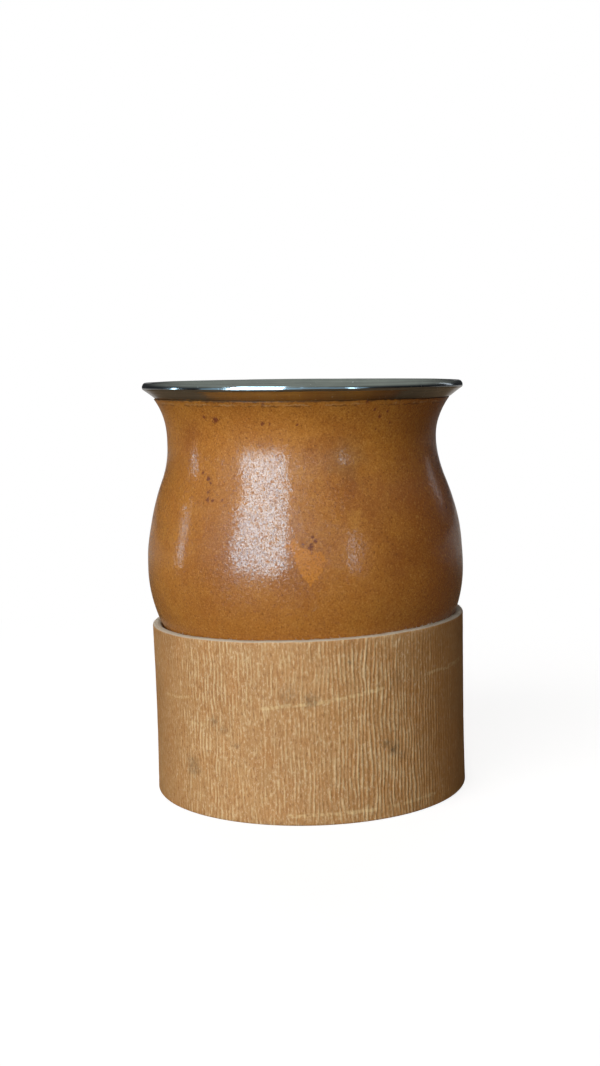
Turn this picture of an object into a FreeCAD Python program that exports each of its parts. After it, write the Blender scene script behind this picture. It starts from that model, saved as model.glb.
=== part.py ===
import FreeCAD, Part
from FreeCAD import Matrix, Vector
import math
import os

os.makedirs("parts", exist_ok=True)

# A mate cup: a hollow calabash gourd with a spun steel rim on its mouth, standing in a laced leather band.
# Millimetres and degrees. The origin is on the floor at the band's axis, +Z is up and the front is -Y.

# Gourd: each rise is measured from the level before it, from the bottom up
belly_radius = 42.8
belly_rise = 39.5
shoulder_rise = 23.6
hollow_rise = 10.8
flare_rise = 11.25
neck_pinch = 6.6
mouth_flare = 3.6
gourd_wall = 3.6
gourd_floor = 5.0
mouth_dip = 1.0

# Steel rim: its heights start at the gourd's cut mouth
sheet_thickness = 0.5
lip_overhang = 3.2
lip_rise = 3.4
lip_inner_bend = 0.3
hem_width = 1.6
throat_bend = 3.0
sleeve_depth = 9.0
sleeve_clearance = 0.15

# Leather band: its top edge holds the gourd seat_drop below the belly's widest line
band_height = 46.5
band_wall = 2.5
band_waist_height = 19.0
band_side_bend = 1000.0
band_rise_right = 0.95
band_rise_front = 0.9
band_edge_round = 0.7
band_foot_round = 0.5
seat_drop = 14.7
seat_depth = 1.0
seat_clearance = 0.15
seam_gap = 0.2

# Lacing that closes the band at the back
thread_radius = 0.4
thread_clearance = 0.05
knot_radius = 0.7
stitch_pitch = 5.0
stitch_margin = 5.5
stitch_half_width = 3.4

# Levels above the floor
seat_height = band_height - seat_depth
belly_height = seat_height + seat_drop
bottom_height = belly_height - belly_rise
turn_height = belly_height + shoulder_rise
neck_height = turn_height + hollow_rise
mouth_height = neck_height + flare_rise

# Radii that follow from the gourd's and the sheet's own sizes
neck_radius = belly_radius - neck_pinch
mouth_radius = neck_radius + mouth_flare
lip_bead_radius = lip_inner_bend + sheet_thickness

Z_AXIS = Vector(0, 0, 1)
ORIGIN = Vector(0, 0, 0)


def at(radius, height):
    """A point of a half section."""
    return Vector(radius, 0, height)


def line(start, end):
    return Part.LineSegment(start, end).toShape()


def arc(start, end, centre):
    """The shorter arc from start to end about centre."""
    middle = (start + end) * 0.5 - centre
    middle.normalize()
    return Part.Arc(start, centre + middle * (start - centre).Length, end).toShape()


def quarter_ellipse(pole, side):
    """From a point on the axis, where it is level, to a point at the side, where it is upright."""
    corner = at(side.x, pole.z)
    curve = Part.BSplineCurve()
    curve.buildFromPolesMultsKnots([pole, corner, side], [3, 3], [0.0, 1.0], False, 2, [1.0, math.sqrt(0.5), 1.0])
    return curve.toShape()


def bend_radius(sideways, upward):
    """The radius of an arc that starts upright and moves this far sideways over this height."""
    return (sideways ** 2 + upward ** 2) / (2 * sideways)


def tangent_point(point, centre, radius):
    """Where a line from the point touches a circle on its right."""
    reach = centre - point
    angle = math.atan2(reach.z, reach.x) - math.asin(radius / reach.Length)
    run = math.sqrt(reach.Length ** 2 - radius ** 2)
    return point + Vector(math.cos(angle), 0, math.sin(angle)) * run


def common_tangent(first, first_radius, second, second_radius):
    """The line that lies on top of two circles, as its point on each."""
    reach = second - first
    lean = math.asin((first_radius - second_radius) / reach.Length)
    angle = math.atan2(reach.z, reach.x) + math.pi / 2 - lean
    out = Vector(math.cos(angle), 0, math.sin(angle))
    return first + out * first_radius, second + out * second_radius


def spin(edges):
    """A solid of revolution about Z from a closed half section."""
    return Part.Face(Part.Wire(edges)).revolve(ORIGIN, Z_AXIS, 360)


def dipped(shape):
    """The mouth dips a little to the right: each point sinks by the dip's slope times its x."""
    slope = Matrix()
    slope.A31 = -math.tan(math.radians(mouth_dip))
    return shape.transformGeometry(slope)


# The gourd's side is three arcs that meet smoothly: the shoulder bulges, the neck is hollow, the flare opens
belly_to_neck_bend = bend_radius(neck_pinch, shoulder_rise + hollow_rise)
shoulder_bend = belly_to_neck_bend * shoulder_rise / (shoulder_rise + hollow_rise)
neck_bend = belly_to_neck_bend - shoulder_bend
flare_bend = bend_radius(mouth_flare, flare_rise)
shoulder_centre = at(belly_radius - shoulder_bend, belly_height)
neck_centre = at(neck_radius + neck_bend, neck_height)
flare_centre = at(neck_radius + flare_bend, neck_height)
shoulder_to_neck = (neck_centre - shoulder_centre).normalize()


def flare_point(radius, height):
    """The point at this height on a curve of this radius about the flare's centre."""
    return at(flare_centre.x - math.sqrt(radius ** 2 - (height - neck_height) ** 2), height)


def gourd_line(inset, floor_inset):
    """The gourd's section line, set in from its skin, with its two ends."""
    pole = at(0, bottom_height + floor_inset)
    side = at(belly_radius - inset, belly_height)
    turn = shoulder_centre + shoulder_to_neck * (shoulder_bend - inset)
    neck = at(neck_radius - inset, neck_height)
    mouth = flare_point(flare_bend + inset, mouth_height)
    edges = [
        quarter_ellipse(pole, side),
        arc(side, turn, shoulder_centre),
        arc(turn, neck, neck_centre),
        arc(neck, mouth, flare_centre),
    ]
    return edges, pole, mouth


def make_calabash_bowl():
    """The hollow gourd, cut flat at the mouth."""
    outer, outer_pole, outer_mouth = gourd_line(0, 0)
    inner, inner_pole, inner_mouth = gourd_line(gourd_wall, gourd_floor)
    section = outer + [line(outer_mouth, inner_mouth)] + inner[::-1] + [line(inner_pole, outer_pole)]
    return dipped(spin(section))


def make_seat_cutter():
    """The gourd's outside, grown by the clearance that the leather keeps from it."""
    outer, pole, mouth = gourd_line(-seat_clearance, -seat_clearance)
    mouth_centre = at(0, mouth_height)
    return dipped(spin(outer + [line(mouth, mouth_centre), line(mouth_centre, pole)]))


def make_steel_rim():
    """One spun sheet: a hem turned in on the gourd's cut edge, skirt, rolled lip, funnel, throat and sleeve."""
    bead_centre = at(mouth_radius + lip_overhang - lip_bead_radius, mouth_height + lip_rise)
    hem_end = at(mouth_radius - hem_width, mouth_height)
    hem_corner = at(mouth_radius, mouth_height)
    skirt_top = tangent_point(hem_corner, bead_centre, lip_bead_radius)

    # The sleeve's lining follows the inside of the gourd's mouth
    lining_bend = flare_bend + gourd_wall + sleeve_clearance + sheet_thickness
    sleeve_top = flare_point(lining_bend, mouth_height)
    sleeve_end = flare_point(lining_bend, mouth_height - sleeve_depth)
    throat_centre = sleeve_top + (flare_centre - sleeve_top).normalize() * throat_bend

    throat_top, funnel_top = common_tangent(throat_centre, throat_bend, bead_centre, lip_bead_radius)
    bead_top = bead_centre + Z_AXIS * lip_bead_radius
    shown_side = [
        line(hem_end, hem_corner),
        line(hem_corner, skirt_top),
        Part.Arc(skirt_top, bead_top, funnel_top).toShape(),
        line(funnel_top, throat_top),
        arc(throat_top, sleeve_top, throat_centre),
        arc(sleeve_top, sleeve_end, flare_centre),
    ]
    sheet = Part.Wire(shown_side).makeOffset2D(sheet_thickness, join=2, fill=True, openResult=True)
    return dipped(sheet.Faces[0].revolve(ORIGIN, Z_AXIS, 360))


# The band's side is one shallow arc about a point far outside it, so it pulls in at the waist
seat_radius = belly_radius * math.sqrt(1 - (seat_drop / belly_rise) ** 2) + seat_clearance
inner_side_bend = band_side_bend + band_wall
band_centre = at(seat_radius + math.sqrt(inner_side_bend ** 2 - (seat_height - band_waist_height) ** 2),
                 band_waist_height)


def band_point(height, bend):
    """A point of the band's section at this height, on the side that has this bend."""
    return at(band_centre.x - math.sqrt(bend ** 2 - (height - band_waist_height) ** 2), height)


def band_side(start, end, bend):
    curve = Part.BSplineCurve()
    curve.interpolate([start, band_point(band_waist_height, bend), end])
    return curve.toShape()


def leather_above_slant(rise_right, rise_front):
    """All that lies above the band's top cut, which rises to the right and to the front."""
    side = 4 * belly_radius
    block = Part.makeBox(side, side, side)
    block.translate(Vector(-side / 2, -side / 2, band_height))
    slope = Matrix()
    slope.A31 = rise_right
    slope.A32 = -rise_front
    return block.transformGeometry(slope)


def outer_edges(band, lowest, highest):
    """The edges that run round the band's outside between two heights."""
    middle_of_wall = band_point(band_waist_height, band_side_bend).x - band_wall / 2
    found = []
    for edge in band.Edges:
        box = edge.BoundBox
        if box.XMax > middle_of_wall and box.ZMin > lowest and box.ZMax < highest:
            found.append(edge)
    return found


def make_leather_ring(seat_cutter):
    """The band: cut on a slant at the top, worn round at its edges, slit at the back and pierced for its lacing."""
    rise_right = math.tan(math.radians(band_rise_right))
    rise_front = math.tan(math.radians(band_rise_front))
    blank_height = band_height + 2 * (rise_right + rise_front) * belly_radius
    outer_foot = band_point(0, band_side_bend)
    outer_head = band_point(blank_height, band_side_bend)
    inner_foot = band_point(0, inner_side_bend)
    inner_head = band_point(blank_height, inner_side_bend)
    band = spin([
        band_side(outer_foot, outer_head, band_side_bend),
        line(outer_head, inner_head),
        band_side(inner_head, inner_foot, inner_side_bend),
        line(inner_foot, outer_foot),
    ])
    band = band.cut(leather_above_slant(rise_right, rise_front))
    most_round = band_wall * 0.45
    band = band.makeFillet(min(band_edge_round, most_round), outer_edges(band, band_height / 2, blank_height))
    band = band.makeFillet(min(band_foot_round, most_round), outer_edges(band, -1, band_foot_round / 2))
    for hole in thread_holes():
        band = band.cut(hole)
    slit = Part.makeBox(seam_gap, 2 * band_wall, blank_height)
    slit.translate(Vector(-seam_gap / 2, inner_foot.x - band_wall / 2, 0))
    return band.cut(slit).cut(seat_cutter)


def around(radius, angle, height):
    """A point at an angle from the back seam."""
    return Vector(radius * math.sin(angle), radius * math.cos(angle), height)


def rod(start, end, radius):
    return Part.makeCylinder(radius, (end - start).Length, start, end - start)


# The lacing has a hole each side of the seam for every stitch
stitch_angle = stitch_half_width / seat_radius
stitch_room = band_height - 2 * stitch_margin
stitch_heights = [stitch_margin + n * stitch_pitch for n in range(int(stitch_room / stitch_pitch) + 1)]


def thread_outside(height):
    return band_point(height, band_side_bend).x + thread_radius + thread_clearance


def thread_inside(height):
    return band_point(height, inner_side_bend).x - thread_radius - thread_clearance


def thread_holes():
    holes = []
    for height in stitch_heights:
        for angle in (-stitch_angle, stitch_angle):
            start = around(thread_inside(height) - band_wall, angle, height)
            end = around(thread_outside(height) + band_wall, angle, height)
            holes.append(rod(start, end, thread_radius + thread_clearance))
    return holes


def outer_stitch(height):
    """The thread's level run across the seam, along the band's curve."""
    start = around(thread_outside(height), -stitch_angle, height)
    along = Vector(math.cos(stitch_angle), math.sin(stitch_angle), 0)
    disc = Part.Face(Part.Wire(Part.Circle(start, along, thread_radius).toShape()))
    return disc.revolve(ORIGIN, Z_AXIS, -2 * math.degrees(stitch_angle))


def inner_run(height, next_height):
    """The thread's slanted run inside the band, up to the next stitch."""
    start = around(thread_inside(height), stitch_angle, height)
    end = around(thread_inside(next_height), -stitch_angle, next_height)
    return rod(start, end, thread_radius)


def knot(angle, height):
    """A ball at an end of the thread, as far from the band's inside as the thread is."""
    return Part.makeSphere(knot_radius, around(thread_inside(height) + thread_radius - knot_radius, angle, height))


def make_seam_thread():
    """One waxed thread: level stitches outside, slanted runs inside, and a knot at each end."""
    pieces = [knot(-stitch_angle, stitch_heights[0]), knot(stitch_angle, stitch_heights[-1])]
    for height in stitch_heights:
        pieces.append(outer_stitch(height))
        for angle in (-stitch_angle, stitch_angle):
            inner_bend = around(thread_inside(height), angle, height)
            outer_bend = around(thread_outside(height), angle, height)
            pieces.append(rod(inner_bend, outer_bend, thread_radius))
            pieces.append(Part.makeSphere(thread_radius, inner_bend))
            pieces.append(Part.makeSphere(thread_radius, outer_bend))
    for height, next_height in zip(stitch_heights, stitch_heights[1:]):
        pieces.append(inner_run(height, next_height))
    return pieces[0].multiFuse(pieces[1:]).removeSplitter()


def export(shape, name):
    if not shape.isValid():
        raise SystemExit(name + " is not a valid solid")
    shape.exportStep("parts/" + name + ".step")
    print(name, "solids", len(shape.Solids), "volume", round(shape.Volume, 1))


export(make_calabash_bowl(), "calabash_bowl")
export(make_steel_rim(), "steel_rim")
export(make_leather_ring(make_seat_cutter()), "leather_ring")
export(make_seam_thread(), "seam_thread")
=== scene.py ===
"""A mate cup: a polished calabash gourd with a spun steel rim, standing in a wide band of thick leather."""
import math

import bpy
import numpy as np
from mathutils import Matrix, Vector


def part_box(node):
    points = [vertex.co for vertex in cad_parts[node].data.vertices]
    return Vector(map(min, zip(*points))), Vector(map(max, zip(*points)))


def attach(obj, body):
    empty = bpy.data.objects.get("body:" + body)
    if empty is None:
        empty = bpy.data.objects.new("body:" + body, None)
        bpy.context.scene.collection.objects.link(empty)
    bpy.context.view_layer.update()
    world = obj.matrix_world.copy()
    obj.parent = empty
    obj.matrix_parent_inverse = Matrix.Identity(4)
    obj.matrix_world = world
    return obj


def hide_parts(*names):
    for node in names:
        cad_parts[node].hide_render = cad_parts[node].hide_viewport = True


MM = 0.001

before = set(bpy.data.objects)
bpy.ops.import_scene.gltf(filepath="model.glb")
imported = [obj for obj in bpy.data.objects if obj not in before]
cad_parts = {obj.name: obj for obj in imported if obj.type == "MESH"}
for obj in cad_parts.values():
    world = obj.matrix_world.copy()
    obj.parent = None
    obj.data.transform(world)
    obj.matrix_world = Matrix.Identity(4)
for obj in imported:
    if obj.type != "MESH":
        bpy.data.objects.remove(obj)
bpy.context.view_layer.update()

# Sizes below are in millimetres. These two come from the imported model
belly_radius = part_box("calabash_bowl")[1].x / MM
band_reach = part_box("leather_ring")[1].x / MM

# The gourd: how far its arcs rise from the foot up to the mouth, and how far they lean in or out
belly_rise = 39.5
shoulder_rise = 23.6
hollow_rise = 10.8
flare_rise = 11.25
neck_pinch = 6.6
mouth_flare = 3.65
gourd_wall = 3.6
gourd_floor = 5.0
# The skin ends this far below the cut mouth
mouth_edge = 0.35
# The mouth is tipped to the right, and the marks at the gourd's sides are moved by side_dip for it
mouth_dip = math.radians(0.97)
side_dip = 0.68

belly_height = 60.2
turn_height = belly_height + shoulder_rise
neck_height = turn_height + hollow_rise
mouth_height = neck_height + flare_rise
neck_radius = belly_radius - neck_pinch

# The steel rim, spun from one sheet: its bead is the rolled lip
sheet_thickness = 0.5
bead_reach = 1.00
bead_rise = 1.30
bead_drop = 0.85
bead_circle = 42.00
bead_height = 108.72
hem_width = 1.6
skirt_foot = 39.8
sleeve_depth = 9.0
sleeve_clearance = 0.15
rim_shift = 0.24
funnel_foot = 106.95
throat_round = 1.7
throat_drop = 2.1

# The leather band, a bent strip with a slanted head
band_height = 46.5
band_wall = 2.5
band_waist_height = 19.0
band_waist = 42.08
slant_right = math.tan(math.radians(0.99))
slant_front = -math.tan(math.radians(0.76))
edge_round = 0.7
foot_round = 0.5
seam_gap = 0.2
seat_clearance = 0.15
wrinkle_pitch = 1.08
finer_pitch = 0.74
wrinkle_depth = 0.19
foot_steps = 5
side_steps = 44

# The thread that laces the band at the back
stitch_count = 8
stitch_pitch = 5.0
stitch_margin = 5.5
stitch_half_width = 3.4
thread_radius = 0.4
thread_gap = 0.05
thread_step = 0.26
twist_length = 2.6
strand_offset = 0.185
strand_radius = 0.205
knot_radius = 0.66
fibre_count = 1100


# Smooth random numbers for the meshes, the same on every run
def smooth_step(t):
    return t * t * (3 - 2 * t)


def noise_flat(u, v, seed):
    """Smooth noise from -1 to 1 over two coordinates, one bump to each unit."""
    size = 256
    table = np.random.RandomState(seed).uniform(-1, 1, (size, size))
    left = np.floor(u).astype(int)
    low = np.floor(v).astype(int)
    across = smooth_step(u - left)
    along = smooth_step(v - low)

    def side(column):
        lower = table[column % size, low % size]
        upper = table[column % size, (low + 1) % size]
        return lower * (1 - along) + upper * along

    return side(left) * (1 - across) + side(left + 1) * across


def noise_solid(x, y, z, seed):
    """Smooth noise from -1 to 1 over space, one bump to each unit."""
    size = 48
    table = np.random.RandomState(seed).uniform(-1, 1, (size, size, size))
    corner = [np.floor(c).astype(int) for c in (x, y, z)]
    part = [smooth_step(c - f) for c, f in zip((x, y, z), corner)]
    total = np.zeros_like(x)
    for step in np.ndindex(2, 2, 2):
        weight = 1.0
        for moved, share in zip(step, part):
            weight = weight * np.abs(1 - moved - share)
        picked = table[tuple((low + moved) % size for low, moved in zip(corner, step))]
        total = total + weight * picked
    return total


# The gourd's section
def bend_radius(rise, drop):
    """The radius of an arc that starts upright and leans in by drop over rise."""
    return (rise ** 2 + drop ** 2) / (2 * drop)


def gourd_radius(z):
    """The gourd's outside radius at a height, from its widest part's lower half up to the mouth."""
    z = np.asarray(z, float)
    shoulder_drop = neck_pinch * shoulder_rise / (shoulder_rise + hollow_rise)
    hollow_drop = neck_pinch - shoulder_drop
    shoulder_bend = bend_radius(shoulder_rise, shoulder_drop)
    hollow_bend = bend_radius(hollow_rise, hollow_drop)
    below = belly_radius * np.sqrt(np.clip(1 - ((belly_height - z) / belly_rise) ** 2, 0, 1))
    reach = np.clip(z - belly_height, 0, shoulder_rise)
    shoulder = belly_radius - shoulder_bend + np.sqrt(shoulder_bend ** 2 - reach ** 2)
    reach = np.clip(neck_height - z, 0, hollow_rise)
    hollow = neck_radius + hollow_bend - np.sqrt(hollow_bend ** 2 - reach ** 2)
    flare = neck_radius + mouth_flare * (np.clip(z - neck_height, 0, None) / flare_rise) ** 2.2
    radius = np.where(z < belly_height, below, shoulder)
    radius = np.where(z > turn_height, hollow, radius)
    return np.where(z > neck_height, flare, radius)


def gourd_drift(z):
    """How far the grown gourd's middle wanders sideways with height, as its outline shows."""
    low_part = -0.2 * np.clip((72 - z) / 6, 0, 1)
    neck_part = -0.34 * np.exp(-((z - 96) / 7) ** 2)
    return low_part + neck_part


# Meshes
def add_object(name, data):
    piece = bpy.data.objects.new(name, data)
    bpy.context.collection.objects.link(piece)
    return piece


def mesh_piece(name, vertices, faces, material):
    """A smooth-shaded piece from points in millimetres."""
    mesh = bpy.data.meshes.new(name)
    mesh.from_pydata([tuple(v) for v in (np.asarray(vertices) * MM)], [], faces)
    mesh.update()
    mesh.polygons.foreach_set("use_smooth", [True] * len(mesh.polygons))
    mesh.materials.append(material)
    return add_object(name, mesh)


def lay_wrap(piece, u, v):
    """A flat map of the surface in metres, from the u and v of each face corner in millimetres."""
    layer = piece.data.uv_layers.new(name="wrap")
    flat = np.empty(2 * len(u))
    flat[0::2] = u * MM
    flat[1::2] = v * MM
    layer.data.foreach_set("uv", flat)


def paint(piece, name, values):
    """A number at each point of a piece, for its material to read."""
    layer = piece.data.attributes.new(name, "FLOAT", "POINT")
    layer.data.foreach_set("value", np.asarray(values, float))


def grid_faces(rows, columns, closed_rows=False, closed_columns=True, base=0):
    """Faces between the rows of a mesh, whose points are stored row by row from number base on."""
    faces = []
    for i in range(rows if closed_rows else rows - 1):
        here = base + i * columns
        above = base + (i + 1) % rows * columns
        for j in range(columns if closed_columns else columns - 1):
            k = (j + 1) % columns
            faces.append((here + j, here + k, above + k, above + j))
    return faces


def full_turn(columns):
    return np.radians(np.arange(columns) * 360 / columns)


def turn_section(section, angles):
    """The radius, height and angle of every point of a section that stands at each angle."""
    radius = np.repeat(section[:, 0], len(angles))
    height = np.repeat(section[:, 1], len(angles))
    return radius, height, np.tile(angles, len(section))


def arc_points(centre, radius, start, end, count):
    """Points on an arc from one angle to another, in degrees from outward, both ends included."""
    turn = np.radians(np.linspace(start, end, count))
    return [(centre[0] + radius * math.cos(t), centre[1] + radius * math.sin(t)) for t in turn]


# Words for making shader nodes
class Nodes:
    """The nodes of one material, group or world."""

    def __init__(self, tree):
        self.tree = tree

    def make(self, kind, inputs=None, **settings):
        node = self.tree.nodes.new("ShaderNode" + kind)
        for key, value in settings.items():
            setattr(node, key, value)
        for key, value in (inputs or {}).items():
            self.put(value, node.inputs[key])
        return node

    def put(self, value, socket):
        if isinstance(value, bpy.types.NodeSocket):
            self.tree.links.new(value, socket)
        elif socket.type == "RGBA" and len(value) == 3:
            socket.default_value = (*value, 1)
        else:
            socket.default_value = value

    def math(self, operation, a, b=0.0, clamp=False):
        return self.make("Math", {0: a, 1: b}, operation=operation, use_clamp=clamp).outputs[0]

    def plus(self, a, b):
        return self.math("ADD", a, b)

    def minus(self, a, b):
        return self.math("SUBTRACT", a, b)

    def times(self, a, b, clamp=False):
        return self.math("MULTIPLY", a, b, clamp)

    def vector(self, operation, a, b=(0, 0, 0)):
        node = self.make("VectorMath", {0: a, 1: b}, operation=operation)
        return node.outputs["Value" if operation in ("DISTANCE", "LENGTH", "DOT_PRODUCT") else "Vector"]

    def move(self, place, step):
        return self.vector("ADD", place, step)

    def stretch(self, place, factors):
        return self.vector("MULTIPLY", place, factors)

    def part(self, vector, axis):
        return self.make("SeparateXYZ", {"Vector": vector}).outputs[axis]

    def mix(self, factor, a, b):
        return self.make("Mix", {0: factor, 6: a, 7: b}, data_type="RGBA").outputs[2]

    def span(self, value, low, high, to_low=0.0, to_high=1.0):
        """A smooth step from to_low to to_high as the value goes from low to high."""
        given = dict(enumerate((value, low, high, to_low, to_high)))
        return self.make("MapRange", given, interpolation_type="SMOOTHSTEP").outputs[0]

    def noise(self, vector, scale, detail=2.0, roughness=0.5, distortion=0.0):
        given = {"Vector": vector, "Scale": scale, "Detail": detail, "Roughness": roughness,
                 "Distortion": distortion}
        return self.make("TexNoise", given).outputs["Fac"]

    def in_mm(self, place):
        return self.stretch(place, (1 / MM, 1 / MM, 1 / MM))

    def place(self):
        """Where a point is on the cup, in millimetres."""
        return self.in_mm(self.make("TexCoord").outputs["Object"])

    def wrap(self):
        """Where a point is on the flattened strip, in millimetres."""
        return self.in_mm(self.make("UVMap", uv_map="wrap").outputs["UV"])

    def painted(self, name):
        """A number that was painted on the mesh."""
        return self.make("Attribute", attribute_name=name).outputs["Fac"]

    def bump(self, height, distance, strength):
        """A bumped normal, its distance in millimetres."""
        given = {"Height": height, "Distance": distance * MM, "Strength": strength}
        return self.make("Bump", given).outputs[0]

    def use(self, group, inputs):
        return self.make("Group", inputs, node_tree=group).outputs[0]

    def blend(self, factor, first, second):
        """One shader at factor 0 and another at 1."""
        return self.make("MixShader", {0: factor, 1: first, 2: second}).outputs[0]


def new_group(name, inputs, output):
    """An empty node group from a list of (name, kind, value) inputs and the output's name and kind."""
    group = bpy.data.node_groups.new(name, "ShaderNodeTree")
    for label, kind, value in inputs:
        socket = group.interface.new_socket(label, in_out="INPUT", socket_type="NodeSocket" + kind)
        if value is not None:
            socket.default_value = value
    group.interface.new_socket(output[0], in_out="OUTPUT", socket_type="NodeSocket" + output[1])
    nodes = Nodes(group)
    given = group.nodes.new("NodeGroupInput").outputs
    result = group.nodes.new("NodeGroupOutput").inputs[0]
    return group, nodes, given, result


def make_mottle():
    """Cloudy patches from 0 to 1: size in millimetres, and contrast from 0, soft, to 1, hard."""
    inputs = [("Place", "Vector", None), ("Size", "Float", 5.0), ("Contrast", "Float", 0.4)]
    group, n, given, result = new_group("mottle", inputs, ("Mask", "Float"))
    scale = n.math("DIVIDE", 1.0, given["Size"])
    cloud = n.noise(given["Place"], scale, 4.0, 0.55, 0.4)
    half = n.times(n.minus(1.05, given["Contrast"]), 0.32)
    low = n.minus(0.5, half)
    high = n.plus(0.5, half)
    n.put(n.span(cloud, low, high), result)
    return group


def make_spot():
    """One ragged spot: 1 inside its reach, 0 outside, in millimetres."""
    inputs = [("Place", "Vector", None), ("Centre", "Vector", None), ("Reach", "Float", 1.0),
              ("Ragged", "Float", 0.4), ("Soft", "Float", 0.4)]
    group, n, given, result = new_group("spot", inputs, ("Mask", "Float"))
    far = n.vector("DISTANCE", given["Place"], given["Centre"])
    fineness = n.math("DIVIDE", 1.5, given["Reach"])
    wobble = n.minus(n.noise(given["Place"], fineness, 3.0, 0.6), 0.5)
    wobble = n.times(wobble, n.times(given["Ragged"], n.times(given["Reach"], 3)))
    far = n.plus(far, wobble)
    edge = n.times(given["Reach"], n.minus(1.0, given["Soft"]))
    rim = n.times(given["Reach"], n.plus(1.0, given["Soft"]))
    n.put(n.minus(1.0, n.span(far, edge, rim)), result)
    return group


def make_scratch():
    """A thin broken line between two points of a flat map: 1 on it, 0 off it, in millimetres."""
    inputs = [("Place", "Vector", None), ("Start", "Vector", None), ("End", "Vector", None),
              ("Width", "Float", 0.3), ("Bow", "Float", 0.5)]
    group, n, given, result = new_group("scratch", inputs, ("Mask", "Float"))
    along = n.vector("SUBTRACT", given["End"], given["Start"])
    out = n.vector("SUBTRACT", given["Place"], given["Start"])
    length = n.vector("LENGTH", along)
    share = n.math("DIVIDE", n.vector("DOT_PRODUCT", out, along), n.times(length, length), True)
    foot = n.make("VectorMath", {0: along, "Scale": share}, operation="SCALE").outputs[0]
    wander = n.minus(n.noise(given["Place"], 0.22, 3.0, 0.6), 0.5)
    lift = n.make("CombineXYZ", {"Y": n.times(wander, n.times(given["Bow"], 4))})
    away = n.vector("LENGTH", n.move(n.vector("SUBTRACT", out, foot), lift.outputs[0]))
    line = n.minus(1.0, n.span(away, n.times(given["Width"], 0.3), given["Width"]))
    broken = n.span(n.noise(given["Place"], 0.9, 3.0, 0.6), 0.38, 0.56)
    n.put(n.times(line, broken), result)
    return group


mottle = make_mottle()
spot = make_spot()
scratch = make_scratch()


def mottled(n, place, size, contrast):
    return n.use(mottle, {"Place": place, "Size": size, "Contrast": contrast})


def spotted(n, place, centre, reach, ragged, soft):
    return n.use(spot, {"Place": place, "Centre": centre, "Reach": reach, "Ragged": ragged, "Soft": soft})


def new_material(name):
    material = bpy.data.materials.new(name)
    material.use_nodes = True
    nodes = Nodes(material.node_tree)
    shader = material.node_tree.nodes["Principled BSDF"]
    return material, nodes, shader


def on_gourd(angle, height):
    """A point of the tipped gourd's skin at an angle right of front, in degrees, and a height."""
    turn = math.radians(angle)
    radius = float(gourd_radius(height + side_dip * math.sin(turn)))
    return (radius * math.sin(turn), -radius * math.cos(turn), height)


def flake_mask(n, place, corners):
    """A patch on the front with torn sides between corners, each x and z, in anticlockwise order."""
    torn = n.times(n.minus(n.noise(place, 0.7, 4.0, 0.75, 0.8), 0.5), 3.4)
    depth = 10.0
    for (x, z), (next_x, next_z) in zip(corners, corners[1:] + corners[:1]):
        length = math.hypot(next_x - x, next_z - z)
        inward = ((z - next_z) / length, 0, (next_x - x) / length)
        past = n.minus(n.vector("DOT_PRODUCT", place, inward), x * inward[0] + z * inward[2])
        depth = n.math("MINIMUM", past, depth)
    inside = n.span(n.plus(depth, torn), -0.12, 0.12)
    front = n.math("LESS_THAN", n.part(place, "Y"), 0.0)
    return n.times(inside, front)


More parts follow.
